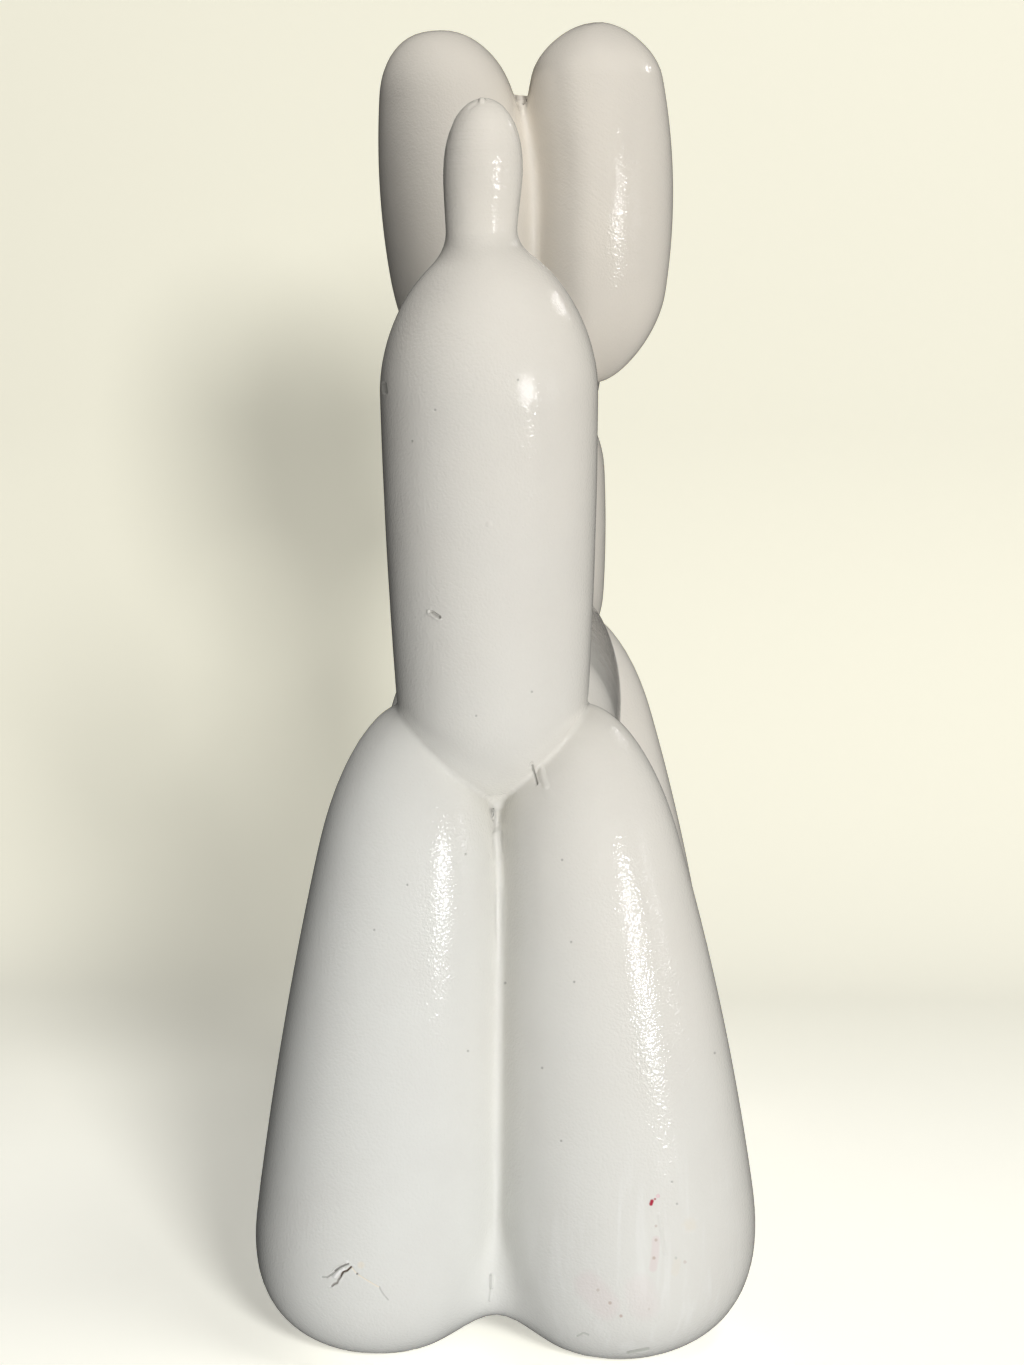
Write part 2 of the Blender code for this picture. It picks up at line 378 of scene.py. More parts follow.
class Casting:
    """The whole form: every bubble's wall, and how neighbouring bubbles are fused.

    The cleft of two legs widens to the foot arch between the heights ARCH_TOP and ARCH_BOTTOM.
    FLOOR_ROUND is how round the rim of a sole is. SHALLOW keeps a step along a faint slope
    from running away, and LONGEST is the longest step. All in mm but SHALLOW.
    """

    ARCH_BOTTOM = 8.0
    ARCH_TOP = 32.0
    FLOOR_ROUND = 1.2
    TWISTS = ("hind_twist", "front_twist", "head_twist")
    TWIST_SOFTNESS = 2.0
    SHALLOW = 0.2
    LONGEST = 2.0

    def __init__(self, sizes):
        self.sizes = sizes
        self.walls = {name: Wall(bubble) for name, bubble in bubbles(sizes).items()}

    def distance(self, points):
        """Signed distance in mm to the fused form, and how close each point is to a crease."""
        far = {name: wall.distance(points) for name, wall in self.walls.items()}
        sizes = self.sizes
        rise = soft_step((self.ARCH_TOP - points[:, 2]) / (self.ARCH_TOP - self.ARCH_BOTTOM))
        cleft = (sizes.leg_cleft + rise * (sizes.foot_arch - sizes.leg_cleft)) / MM
        crease = sizes.crease / MM
        groups = [
            blend(far["hind_left_leg"], far["hind_right_leg"], cleft),
            blend(far["front_left_leg"], far["front_right_leg"], cleft),
            blend(far["tail"], far["limp_tip"], sizes.tip_shoulder / MM),
            blend(far["left_ear"], far["right_ear"], sizes.ear_cleft / MM),
            far["body"], far["neck"], far["snout"]]
        form = groups[0]
        for group in groups[1:]:
            form = blend(form, group, crease)
        for name in self.TWISTS:
            form = blend(form, far[name], self.TWIST_SOFTNESS * crease)
        walls = np.sort(np.stack([far[name] for name in far if name not in self.TWISTS]), axis=0)
        closeness = np.maximum(np.abs(walls[0]), np.abs(walls[1]))
        floor = -points[:, 2]
        near = np.maximum(self.FLOOR_ROUND - np.abs(form - floor), 0.0) / self.FLOOR_ROUND
        form = np.maximum(form, floor) + near * near * self.FLOOR_ROUND / 4
        return form, closeness

    def slope(self, points, value, reach=0.05):
        """How fast the distance grows along each axis."""
        return np.stack([
            self.distance(points + reach * axis)[0] - value for axis in np.eye(3)], 1) / reach

    def settle(self, points, rounds=5):
        """Move points onto the form along its slope."""
        for _ in range(rounds):
            value, _ = self.distance(points)
            slope = self.slope(points, value)
            steep = np.maximum((slope ** 2).sum(1), self.SHALLOW)
            step = np.clip(value / steep, -self.LONGEST, self.LONGEST)
            points = points - step[:, None] * slope
        return points


# Small helpers for modelling

def alone(obj=None):
    """Deselect everything, and select and activate one object."""
    if bpy.context.object and bpy.context.object.mode != "OBJECT":
        bpy.ops.object.mode_set(mode="OBJECT")
    bpy.ops.object.select_all(action="DESELECT")
    if obj is not None:
        obj.select_set(True)
        bpy.context.view_layer.objects.active = obj


@contextmanager
def editing():
    """Edit the active object's mesh, and leave edit mode again."""
    bpy.ops.object.mode_set(mode="EDIT")
    yield
    bpy.ops.object.mode_set(mode="OBJECT")


def select_edges(obj, wanted):
    """Select the edges whose middle is wanted, and nothing else."""
    mesh = obj.data
    for part in (mesh.vertices, mesh.edges, mesh.polygons):
        part.foreach_set("select", [False] * len(part))
    for edge in mesh.edges:
        one, two = (mesh.vertices[index] for index in edge.vertices)
        if wanted((one.co + two.co) / 2):
            edge.select = one.select = two.select = True
    bpy.context.tool_settings.mesh_select_mode = (False, True, False)


def gathered(items, name, kind=float, size=1):
    """One value of each item as an array, with a row for each where it has several numbers."""
    values = np.empty(len(items) * size, dtype=kind)
    items.foreach_get(name, values)
    return values if size == 1 else values.reshape(-1, size)


def coordinates(mesh):
    """A mesh's vertex places."""
    return gathered(mesh.vertices, "co", size=3)


def set_coordinates(mesh, points):
    """Move a mesh's vertices to places in metres."""
    mesh.vertices.foreach_set("co", np.ascontiguousarray(points).ravel())
    mesh.update()


def layout_points(mesh):
    """Vertex places in the layout's mm."""
    return coordinates(mesh) / MM + np.array(FOOTPRINT)


def set_layout_points(mesh, points):
    """Move a mesh's vertices to places in the layout's mm."""
    set_coordinates(mesh, (points - np.array(FOOTPRINT)) * MM)


def normals_of(mesh):
    """The mesh's own normals at its vertices."""
    return gathered(mesh.vertex_normals, "vector", size=3)


def edge_pairs(mesh):
    """The two vertices of each edge."""
    return gathered(mesh.edges, "vertices", np.int64, size=2)


def add_attribute(mesh, name, kind, values):
    """Keep one value for each vertex with the mesh."""
    layer = mesh.attributes.new(name, kind, "POINT")
    layer.data.foreach_set("value" if kind == "FLOAT" else "color", np.ravel(values))


# How far a point moves towards the mean of its neighbours in one round of evening out
EVENING = 0.6


def relax(mesh, points, rounds):
    """Even the spacing of points by moving each one towards the mean of its neighbours."""
    pairs = edge_pairs(mesh)
    one, two = pairs[:, 0], pairs[:, 1]
    count = np.bincount(pairs.ravel(), minlength=len(points)).astype(float)[:, None]
    for _ in range(rounds):
        total = np.stack([
            np.bincount(one, points[two, axis], len(points))
            + np.bincount(two, points[one, axis], len(points)) for axis in range(3)], 1)
        points = points * (1 - EVENING) + total / count * EVENING
    return points


def refine(obj, chosen, smallest=0.0):
    """Subdivide the faces that have a chosen vertex and are larger than an area."""
    mesh = obj.data
    alone(obj)
    starts = gathered(mesh.polygons, "loop_start", np.int64)
    corners = gathered(mesh.loops, "vertex_index", np.int64)
    faces = np.add.reduceat(chosen[corners].astype(np.int64), starts) > 0
    faces &= gathered(mesh.polygons, "area") > smallest
    mesh.vertices.foreach_set("select", np.zeros(len(mesh.vertices), dtype=bool))
    mesh.edges.foreach_set("select", np.zeros(len(mesh.edges), dtype=bool))
    mesh.polygons.foreach_set("select", faces)
    bpy.context.tool_settings.mesh_select_mode = (False, False, True)
    with editing():
        bpy.ops.mesh.subdivide(number_cuts=1, smoothness=0.0, ngon=False)


# The photograph's camera, which places the marks

CAMERA_PLACE = Vector((-13.6, 648.7, 220.9)) * MM
CAMERA_PITCH = math.radians(8.18)
CAMERA_YAW = math.radians(1.35)
CAMERA_ROLL = math.radians(0.34)


def camera_axes():
    """The camera's right, up and forward directions."""
    pitch, yaw, roll = CAMERA_PITCH, CAMERA_YAW, CAMERA_ROLL
    forward = Vector((
        math.sin(yaw) * math.cos(pitch), -math.cos(yaw) * math.cos(pitch), -math.sin(pitch)))
    right = forward.cross(Vector((0, 0, 1))).normalized()
    up = right.cross(forward)
    turned_right = math.cos(roll) * right + math.sin(roll) * up
    turned_up = math.cos(roll) * up - math.sin(roll) * right
    return turned_right, turned_up, forward


def to_photo(points):
    """Where points in metres fall in the photograph, in pixels, and how far away they are."""
    right, up, forward = (np.array(axis) for axis in camera_axes())
    gap = points - np.array(CAMERA_PLACE)
    away = gap @ forward
    across = PHOTO_WIDTH / 2 + PHOTO_FOCAL * (gap @ right) / away
    down = PHOTO_HEIGHT / 2 - PHOTO_FOCAL * (gap @ up) / away
    return np.stack([across, down], 1), away


def behind_pixel(tree, pixel):
    """How far away the skin lies behind a pixel of the photograph."""
    right, up, forward = camera_axes()
    across = (pixel[0] - PHOTO_WIDTH / 2) / PHOTO_FOCAL
    down = (pixel[1] - PHOTO_HEIGHT / 2) / PHOTO_FOCAL
    ray = forward + across * right - down * up
    hit = tree.ray_cast(CAMERA_PLACE, ray.normalized())[0]
    if hit is None:
        raise ValueError(f"No skin behind the pixel {pixel}")
    return (hit - CAMERA_PLACE).dot(forward)


# Marks of painting and of wear, and shade painted into the sunken ones, each along a line of pixels
# of the photograph

class Stroke(NamedTuple):
    """A mark on the skin.

    path is its line and width its half width, in the photograph's pixels. depth is how far
    it sinks in mm, or stands up where it is negative, and lip is how far the edge on one side
    of it stands up, to the right of the path where side is 1. ink is the name of its colour
    and strength how much of that colour covers the paint.
    """

    path: tuple
    width: float
    depth: float = 0.0
    lip: float = 0.0
    side: float = 0.0
    ink: str = ""
    strength: float = 1.0


# The colours of the marks. The darkest grey is shade painted into the sunken pinholes, the ding on
# the tail, the slit of the scar and the hairline of the chip
INKS = {
    "painted_shade": (0.20, 0.19, 0.17),
    "undercoat": (0.36, 0.35, 0.33),
    "casting": (0.12, 0.085, 0.06),
    "flake": (0.86, 0.85, 0.82),
    "red": (0.42, 0.02, 0.05),
    "pink": (0.72, 0.42, 0.46),
    "rust": (0.40, 0.24, 0.18),
    "beige": (0.82, 0.72, 0.55),
    "moss": (0.42, 0.44, 0.38),
}

# Pinholes in the paint, in the photograph's pixels, and the size of each. Their dark colour is
# painted shade in the holes
PINHOLE = {"width": 1.6, "depth": 0.12, "ink": "painted_shade", "strength": 0.45}
PINHOLES = (
    (518, 380), (435, 410), (412, 441), (476, 716), (532, 692), (466, 854), (562, 860),
    (571, 942), (574, 982), (505, 983), (468, 1051), (542, 1068), (715, 1053), (561, 1141),
    (407, 885), (374, 930), (672, 1182), (677, 1204))

# Specks on the feet: the pixel of each, its half width, its ink and how strong that is
SPECKS = (
    ((361, 1265), 4.5, "beige", 0.35), ((658, 1196), 2.6, "pink", 0.50),
    ((656, 1226), 1.8, "rust", 0.35), ((656, 1240), 2.0, "rust", 0.55),
    ((654, 1258), 2.2, "rust", 0.60), ((676, 1258), 1.7, "moss", 0.50),
    ((685, 1262), 2.2, "rust", 0.25), ((690, 1225), 9.0, "beige", 0.22),
    ((598, 1290), 2.0, "rust", 0.40), ((610, 1303), 2.2, "rust", 0.55),
    ((621, 1316), 2.0, "rust", 0.60), ((649, 1309), 1.8, "rust", 0.25))

STROKES = (
    *(Stroke(path=(pixel,), **PINHOLE) for pixel in PINHOLES),
    *(Stroke(path=(pixel,), width=width, ink=ink, strength=strength)
      for pixel, width, ink, strength in SPECKS),
    # The tail: a ding with painted shade in it, a speck of dust under the paint, and a nick in its
    # outline
    Stroke(((431, 612), (439, 617)), 2.3, depth=0.42, lip=0.16, side=1.0, ink="painted_shade", strength=0.4),
    Stroke(((489, 524),), 4.0, depth=-0.14),
    Stroke(((384, 384), (385, 392)), 3.0, depth=0.30),
    # The scar where the tail sits on the right leg, with painted shade in its slit
    Stroke(((533, 766), (534, 773), (537, 784)), 1.4, depth=0.65, ink="painted_shade", strength=0.45),
    Stroke(((532, 763), (530, 767)), 1.6, depth=0.30),
    Stroke(((541, 768), (542, 776), (546, 786)), 4.2, depth=-0.34),
    Stroke(((545, 790), (549, 795)), 6.0, depth=-0.14),
    # The hook on top of the limp tip
    Stroke(((481, 101), (483, 101)), 3.0, depth=-0.6),
    Stroke(((470, 108), (476, 104)), 2.2, depth=0.15),
    # The chip in the left foot: two gashes, the flake between them and a hairline, with painted
    # shade in a pit on it and along its lower end
    Stroke(((322, 1277), (327, 1277), (332, 1274), (335, 1271)), 1.1, depth=0.20,
           ink="undercoat", strength=0.7),
    Stroke(((335, 1271), (340, 1267), (345, 1265), (348, 1264)), 1.4, depth=0.26, lip=0.10,
           side=-1.0, ink="undercoat"),
    Stroke(((351, 1267), (347, 1271), (343, 1272), (341, 1276)), 1.3, depth=0.30, ink="casting"),
    Stroke(((341, 1276), (338, 1280), (337, 1283), (334, 1284), (332, 1286)), 1.4,
           depth=0.22, lip=0.12, side=-1.0, ink="casting", strength=0.6),
    Stroke(((335, 1276), (339, 1272), (343, 1269)), 2.4, depth=-0.26, ink="flake"),
    Stroke(((347, 1262),), 2.0, depth=-0.18, ink="flake"),
    Stroke(((352, 1268), (357, 1274), (365, 1279), (370, 1282), (375, 1285), (379, 1287)), 0.9,
           depth=0.10, ink="beige", strength=0.7),
    Stroke(((379, 1287), (381, 1291), (383, 1294), (388, 1300)), 1.1, depth=0.14, ink="painted_shade",
           strength=0.3),
    Stroke(((357, 1274),), 1.4, depth=0.2, ink="painted_shade"),
    # The drip at the foot of the cleft
    Stroke(((492, 1276), (492, 1286)), 3.0, depth=-0.55),
    Stroke(((491, 1288), (490, 1300)), 1.8, depth=-0.20),
    # The right foot: a red spot, its smears, a ridge of paint, scratches at the sole
    Stroke(((652, 1201), (651, 1204)), 2.3, depth=-0.12, ink="red"),
    Stroke(((655, 1199),), 1.5, depth=-0.10, ink="red", strength=0.8),
    Stroke(((656, 1240), (655, 1256), (653, 1268)), 5.0, ink="pink", strength=0.18),
    Stroke(((659, 1215), (662, 1236), (665, 1254)), 2.2, depth=-0.15),
    Stroke(((675, 1272), (677, 1262)), 5.0, ink="beige", strength=0.16),
    Stroke(((588, 1285), (598, 1296), (606, 1306)), 17.0, ink="pink", strength=0.12),
    Stroke(((640, 1290), (644, 1305)), 19.0, ink="pink", strength=0.09),
    Stroke(((577, 1336), (583, 1333), (588, 1335)), 1.4, depth=0.1, ink="moss", strength=0.4),
    Stroke(((628, 1353), (638, 1351), (648, 1349)), 1.8, depth=0.15, ink="moss", strength=0.6),
)

# How close to a stroke, in pixels beyond its width, the mesh is made finer, round by round,
# and the smallest face that is still divided, as a share of the round's own faces. Strokes
# wider than BROAD only tint the paint and need one round
MARK_BANDS = (12.0, 6.0, 3.0, 1.2)
SMALLEST_FACE = 0.3
BROAD = 8.0

# How far in depth a stroke reaches from where its path starts, and in widths across it
MARK_REACH = 12.0 * MM
MARK_WIDTHS = 4

# The section of a stroke: how steep its sides are, where its lip stands and how wide the lip
# is in widths, and how soon its colour is full
SIDE_POWER = 1.5
LIP_PLACE = 1.2
LIP_WIDTH = 0.9
INK_FULLNESS = 1.3

# How far apart the form is measured for the shading normals, in mm
SHADING_REACH = 0.5


def from_path(pixels, path):
    """Distance of each pixel to a line, and which side of it the pixel is on."""
    path = np.array(path, dtype=float)
    if len(path) == 1:
        gap = pixels - path[0]
        return np.hypot(*gap.T), np.ones(len(pixels))
    near = np.full(len(pixels), np.inf)
    side = np.ones(len(pixels))
    for start, end in zip(path, path[1:]):
        step = end - start
        gap = pixels - start
        reach = np.clip(gap @ step / (step @ step), 0.0, 1.0)
        far = np.hypot(*(gap - np.outer(reach, step)).T)
        closer = far < near
        near[closer] = far[closer]
        side[closer] = np.sign(step[0] * gap[closer, 1] - step[1] * gap[closer, 0])
    return near, side


def facing(mesh, points):
    """Which vertices face the photograph's camera."""
    return ((np.array(CAMERA_PLACE) - points) * normals_of(mesh)).sum(1) > 0.0


def stroke_depths(mesh):
    """How far from the camera the skin lies where each stroke starts."""
    tree = BVHTree.FromPolygons(
        [vertex.co for vertex in mesh.vertices],
        [polygon.vertices for polygon in mesh.polygons])
    return [behind_pixel(tree, stroke.path[0]) for stroke in STROKES]


def along_strokes(mesh, points, depths, broad=True):
    """For each stroke, the vertices around it, how far off they are and on which side."""
    pixels, away = to_photo(points)
    front = facing(mesh, points)
    for stroke, depth in zip(STROKES, depths):
        if stroke.width > BROAD and not broad:
            continue
        around = MARK_WIDTHS * stroke.width + MARK_BANDS[0]
        low, high = np.min(stroke.path, axis=0) - around, np.max(stroke.path, axis=0) + around
        close = front & (np.abs(away - depth) < MARK_REACH)
        close &= ((pixels > low) & (pixels < high)).all(1)
        where = np.flatnonzero(close)
        far, side = from_path(pixels[where], stroke.path)
        yield stroke, where, far, side


def refine_along_strokes(skin, form, depths):
    """Make the mesh finer and finer along the strokes, on the casting's form."""
    for number, band in enumerate(MARK_BANDS):
        points = coordinates(skin.data)
        chosen = np.zeros(len(points), dtype=bool)
        for stroke, where, far, _ in along_strokes(skin.data, points, depths, number == 0):
            chosen[where[far < band + stroke.width]] = True
        before = len(points)
        refine(skin, chosen, SMALLEST_FACE * (form.sizes.grid / 2 ** number) ** 2)
        points = layout_points(skin.data)
        points[before:] = form.settle(points[before:], rounds=3)
        set_layout_points(skin.data, points)


def draw_marks(skin, form):
    """Sink, raise and colour the skin along the strokes, painting shade into some sunken ones, and
    shade the rest smoothly.
    """
    depths = stroke_depths(skin.data)
    refine_along_strokes(skin, form, depths)
    smooth = layout_points(skin.data)
    smooth = form.slope(smooth, form.distance(smooth)[0], reach=SHADING_REACH)
    points = coordinates(skin.data)
    rise = np.zeros(len(points))
    strength = np.zeros(len(points))
    colour = np.ones((len(points), 4))
    for stroke, where, far, side in along_strokes(skin.data, points, depths):
        inside = np.clip(1 - (far / stroke.width) ** 2, 0.0, 1.0)
        rise[where] -= stroke.depth * inside ** SIDE_POWER
        edge = np.clip(1 - ((far / stroke.width - LIP_PLACE) / LIP_WIDTH) ** 2, 0.0, 1.0)
        rise[where] += stroke.lip * edge ** 2 * (side == stroke.side)
        if stroke.ink:
            share = np.clip(INK_FULLNESS * stroke.strength * inside, 0.0, stroke.strength)
            taken = share > strength[where]
            strength[where[taken]] = share[taken]
            colour[where[taken], :3] = INKS[stroke.ink]
    set_coordinates(skin.data, points + normals_of(skin.data) * rise[:, None] * MM)
    add_attribute(skin.data, "mark", "FLOAT", strength)
    add_attribute(skin.data, "mark_colour", "FLOAT_COLOR", colour)
    smooth_normals(skin.data, smooth, np.abs(rise) > 0.0)


def smooth_normals(mesh, normals, worked):
    """Shade the mesh with the form's own normals, and keep the mesh's where it is worked."""
    pairs = edge_pairs(mesh)
    beside = worked.copy()
    beside[pairs[worked[pairs].any(1)].ravel()] = True
    mesh.shade_smooth()
    normals = np.where(beside[:, None], normals_of(mesh), normals)
    normals = normals / np.linalg.norm(normals, axis=1)[:, None]
    mesh.normals_split_custom_set_from_vertices(normals)


# Making the pieces

# How close to a crease the mesh is made finer, round by round, in mm
CREASE_BANDS = (3.2, 1.3)

# How often the skin is fused and evened out again
FUSINGS = 2
EVENING_ROUNDS = 4

# The rings of an inflated bubble, the sides of each, and how far round its half section, in
# radians, the first and last rings lie from the tips
BUBBLE_RINGS = 22
BUBBLE_SIDES = 28
TIP_GAP = 0.03


def lift(gaps, radii):
    """Extrude the selected ring by each gap, sizing it from each radius to the next."""
    for gap, near, far in zip(gaps, radii, radii[1:]):
        bpy.ops.mesh.extrude_region_move(TRANSFORM_OT_translate={"value": (0, 0, gap)})
        bpy.ops.transform.resize(value=(far / near, far / near, 1))


def face_outwards():
    """Turn all the edited faces outwards."""
    bpy.ops.mesh.select_all(action="SELECT")
    bpy.ops.mesh.normals_make_consistent(inside=False)


def turn_and_place(mesh, way, start, squeeze=1.0):
    """Squeeze a mesh along its Y, turn its Z to a way, move it to the layout's start, in mm."""
    turn = Vector((0, 0, 1)).rotation_difference(way).to_matrix().to_4x4()
    place = Matrix.Translation(Vector(start) - FOOTPRINT)
    mesh.transform(
        Matrix.Scale(MM, 4) @ place @ turn @ Matrix.Diagonal((1.0, squeeze, 1.0, 1.0)))


def inflate(name, bubble):
    """Fill a ring, lift it along a bubble and size it at each step, so both ends are closed."""
    axis = Vector(bubble.end) - Vector(bubble.start)
    length = axis.length
    share = 0.5 - 0.5 * np.cos(np.linspace(TIP_GAP, math.pi - TIP_GAP, BUBBLE_RINGS))
    radii = wall_radius(bubble, share, length)
    alone()
    bpy.ops.mesh.primitive_circle_add(vertices=BUBBLE_SIDES, radius=radii[0], location=(0, 0, 0))
    obj = bpy.context.object
    obj.name = name
    with editing():
        bpy.ops.mesh.select_all(action="SELECT")
        bpy.ops.transform.translate(value=(0, 0, share[0] * length))
        bpy.ops.mesh.edge_face_add()
        lift(np.diff(share) * length, radii)
        face_outwards()
    turn_and_place(obj.data, axis, bubble.start, bubble.depth)
    return obj


def cast(sizes):
    """Fuse the inflated bubbles into one skin, settle it on the casting's form and mark it."""
    parts = [inflate("bubble_" + name, bubble) for name, bubble in bubbles(sizes).items()]
    alone(parts[0])
    for part in parts:
        part.select_set(True)
    bpy.ops.object.join()
    skin = bpy.context.object
    skin.name = "painted_casting"
    form = Casting(sizes)
    for _ in range(FUSINGS):
        fuse = skin.modifiers.new("fuse", "REMESH")
        fuse.mode = "VOXEL"
        fuse.voxel_size = sizes.grid
        bpy.ops.object.modifier_apply(modifier=fuse.name)
        points = form.settle(layout_points(skin.data), rounds=5)
        for _ in range(2):
            points = form.settle(relax(skin.data, points, EVENING_ROUNDS), rounds=3)
        set_layout_points(skin.data, points)
    for band in CREASE_BANDS:
        _, closeness = form.distance(points)
        refine(skin, closeness < band)
        points = form.settle(layout_points(skin.data), rounds=3)
        points = form.settle(relax(skin.data, points, 1), rounds=3)
        set_layout_points(skin.data, points)
    draw_marks(skin, form)
    return skin


# The knot and the rolled lip of the balloon's mouth, measured from the snout's front end:
# how far forward each ring lies and its radius, in mm
KNOT_RINGS = (
    (-4.0, 2.6), (-2.6, 4.3), (-0.8, 5.3), (1.0, 5.3), (2.6, 4.4), (3.6, 3.2), (4.3, 2.8),
    (5.6, 2.9), (7.0, 3.4), (8.6, 4.3), (9.9, 5.3), (10.6, 6.0), (11.2, 6.3), (11.8, 6.1),
    (12.0, 5.6), (11.7, 5.0), (11.0, 4.4), (10.0, 3.6), (9.2, 2.4), (8.8, 1.0))
KNOT_SIDES = 72

# The pleats: how many, how they turn along the knot and bunch up, and how deep they are, as a
# share of the radius, at places along it in mm
LIP_PLEATS = 9
PLEAT_TWIST = 0.25
PLEAT_BUNCHING = 1.2
PLEAT_PLACES = (-3.0, 0.0, 4.3, 8.0, 11.5)
PLEAT_DEPTHS = (0.01, 0.04, 0.16, 0.10, 0.03)

# How far the lip waves to the front, in mm, and where the wave begins and is full
LIP_WAVE = 0.35
WAVE_START = 6.0
WAVE_GROWTH = 5.0


def tie_knot(sizes):
    """Lift rings to the knot and the flared lip, pleat them and turn them to the front."""
    alone()
    places, radii = zip(*KNOT_RINGS)
    bpy.ops.mesh.primitive_circle_add(
        vertices=KNOT_SIDES, radius=radii[0], fill_type="NGON", location=(0, 0, places[0]))
    knot = bpy.context.object
    knot.name = "knot_and_lip"
    bpy.ops.object.transform_apply(location=True)
    with editing():
        bpy.ops.mesh.select_all(action="SELECT")
        lift(np.diff(places), radii)
        bpy.ops.mesh.poke()
        face_outwards()
    points = coordinates(knot.data)
    turn = np.arctan2(points[:, 1], points[:, 0])
    twist_turn = turn + PLEAT_TWIST * points[:, 2]
    pleat = 0.5 + 0.5 * np.cos(LIP_PLEATS * twist_turn + PLEAT_BUNCHING * np.sin(2 * turn))
    strength = np.interp(points[:, 2], PLEAT_PLACES, PLEAT_DEPTHS)
    points[:, :2] *= (1 - strength * pleat)[:, None]
    wave = np.clip((points[:, 2] - WAVE_START) / WAVE_GROWTH, 0.0, 1.0)
    points[:, 2] += LIP_WAVE * np.cos(3 * turn) * wave
    set_coordinates(knot.data, points)
    rounding = knot.modifiers.new("rounding", "SUBSURF")
    rounding.levels = rounding.render_levels = 1
    bpy.ops.object.modifier_apply(modifier=rounding.name)
    turn_and_place(knot.data, Vector((0, -1, 0)), bubbles(sizes)["snout"].end)
    knot.data.shade_smooth()
    return knot


def dress(piece, look):
    """Paint a piece, and let it stand for the solid casting."""
    piece.data.materials.clear()
    piece.data.materials.append(paint_material(look))
    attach(piece, BODY)
    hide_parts(NODE)


class BALLOONDOG_OT_knot(bpy.types.Operator):
    """Tie the balloon's mouth in front of the snout"""

    bl_idname = "balloondog.knot"
    bl_label = "Tie the knot"

    def execute(self, context):
        dress(tie_knot(context.scene.balloondog_sizes), context.scene.balloondog_paint)
        return {"FINISHED"}


class BALLOONDOG_OT_casting(bpy.types.Operator):
    """Cast the dog in one piece and paint it"""

    bl_idname = "balloondog.casting"
    bl_label = "Cast the dog"

    def execute(self, context):
        sizes = context.scene.balloondog_sizes
        dress(cast(sizes), context.scene.balloondog_paint)
        return {"FINISHED"}


# Materials

class Graph:
    """Adds nodes to a material or a world."""

    def __init__(self, tree):
        self.tree = tree

    def link(self, value, socket):
        """Feed a socket from a wire, or set it to a plain value."""
        if isinstance(value, Wire):
            self.tree.links.new(value.socket, socket)
        elif isinstance(socket.default_value, (int, float)):
            socket.default_value = value
        else:
            size = len(socket.default_value)
            socket.default_value = (*value, 1.0)[:size]

    def feed(self, node, sockets):
        """Feed several sockets of a node."""
        for name, value in sockets.items():
            self.link(value, node.inputs[name])

    def add(self, kind, settings=None, sockets=None, output=0):
        """Add a node with its settings, then its sockets, and give the wire of one output."""
        node = self.tree.nodes.new(kind)
        for name, value in (settings or {}).items():
            setattr(node, name, value)
        self.feed(node, sockets or {})
        return node if output is None else Wire(self, node.outputs[output])

    def along_axes(self, place):
        """The three coordinates of a place."""
        split = self.add("ShaderNodeSeparateXYZ", sockets={"Vector": place}, output=None)
        return [Wire(self, split.outputs[name]) for name in "XYZ"]

    def stretched(self, place, scales):
        """A place, stretched by its own scale along each axis."""
        return self.add("ShaderNodeVectorMath", {"operation": "MULTIPLY"}, {0: place, 1: scales})

    def mix(self, share, first, second):
        """Blend two colours."""
        return self.add("ShaderNodeMix", {"data_type": "RGBA", "clamp_factor": True}, {
            "Factor": share, 6: first, 7: second}, output=2)

    def noise(self, place, scale, detail=2.0, roughness=0.5, distortion=0.0):
        """Cloudy noise around 0.5, with scale cells to the metre."""
        return self.add("ShaderNodeTexNoise", None, {
            "Vector": place, "Scale": scale, "Detail": detail, "Roughness": roughness,
            "Distortion": distortion}, output="Fac")

    def between(self, value, low, high):
        """0 below low, 1 above high, and smooth between them."""
        return self.add("ShaderNodeMapRange", {"interpolation_type": "SMOOTHSTEP"}, {
            "Value": value, "From Min": low, "From Max": high}, output="Result")


def new_material(name):
    """A new material with its graph and its shader."""
    material = bpy.data.materials.new(name)
    material.use_nodes = True
    return material, Graph(material.node_tree), material.node_tree.nodes["Principled BSDF"]


class Wire:
    """One output of a node, which takes part in Python arithmetic by adding Math nodes."""

    def __init__(self, graph, socket):
        self.graph = graph
        self.socket = socket

    def math(self, operation, first, second):
        """Add one Math node."""
        return self.graph.add("ShaderNodeMath", {"operation": operation}, {0: first, 1: second})

    def __add__(self, other):
        return self.math("ADD", self, other)

    def __radd__(self, other):
        return self.math("ADD", other, self)

    def __sub__(self, other):
        return self.math("SUBTRACT", self, other)

    def __rsub__(self, other):
        return self.math("SUBTRACT", other, self)

    def __mul__(self, other):
        return self.math("MULTIPLY", self, other)

    def __rmul__(self, other):
        return self.math("MULTIPLY", other, self)


# How the paint's tint drifts over the dog: warmer up, away from the tail and to its right
TINT_UP = 1.0
TINT_BACK = -0.3
TINT_LEFT = -2.0
TINT_COOL = -0.05
TINT_WARM = 0.30

# Where the paint is brushed and how far from there, in metres: the right hind foot, the limp
# tip and the right ear
FOOT_BRUSHED, FOOT_REACH = (-0.030, 0.145, 0.022), 0.038
TIP_BRUSHED, TIP_REACH = (0.0055, 0.134, 0.252), 0.024
EAR_BRUSHED, EAR_REACH = (-0.024, -0.033, 0.262), 0.034

# How fine the brush's lines are along each axis, in lines to the metre, and how far the ear's
# lines turn round the dog's length, in radians
FOOT_LINES = (380.0, 300.0, 34.0)
TIP_LINES = (90.0, 90.0, 1500.0)
EAR_LINES = (200.0, 90.0, 1100.0)
EAR_TURN = 0.6


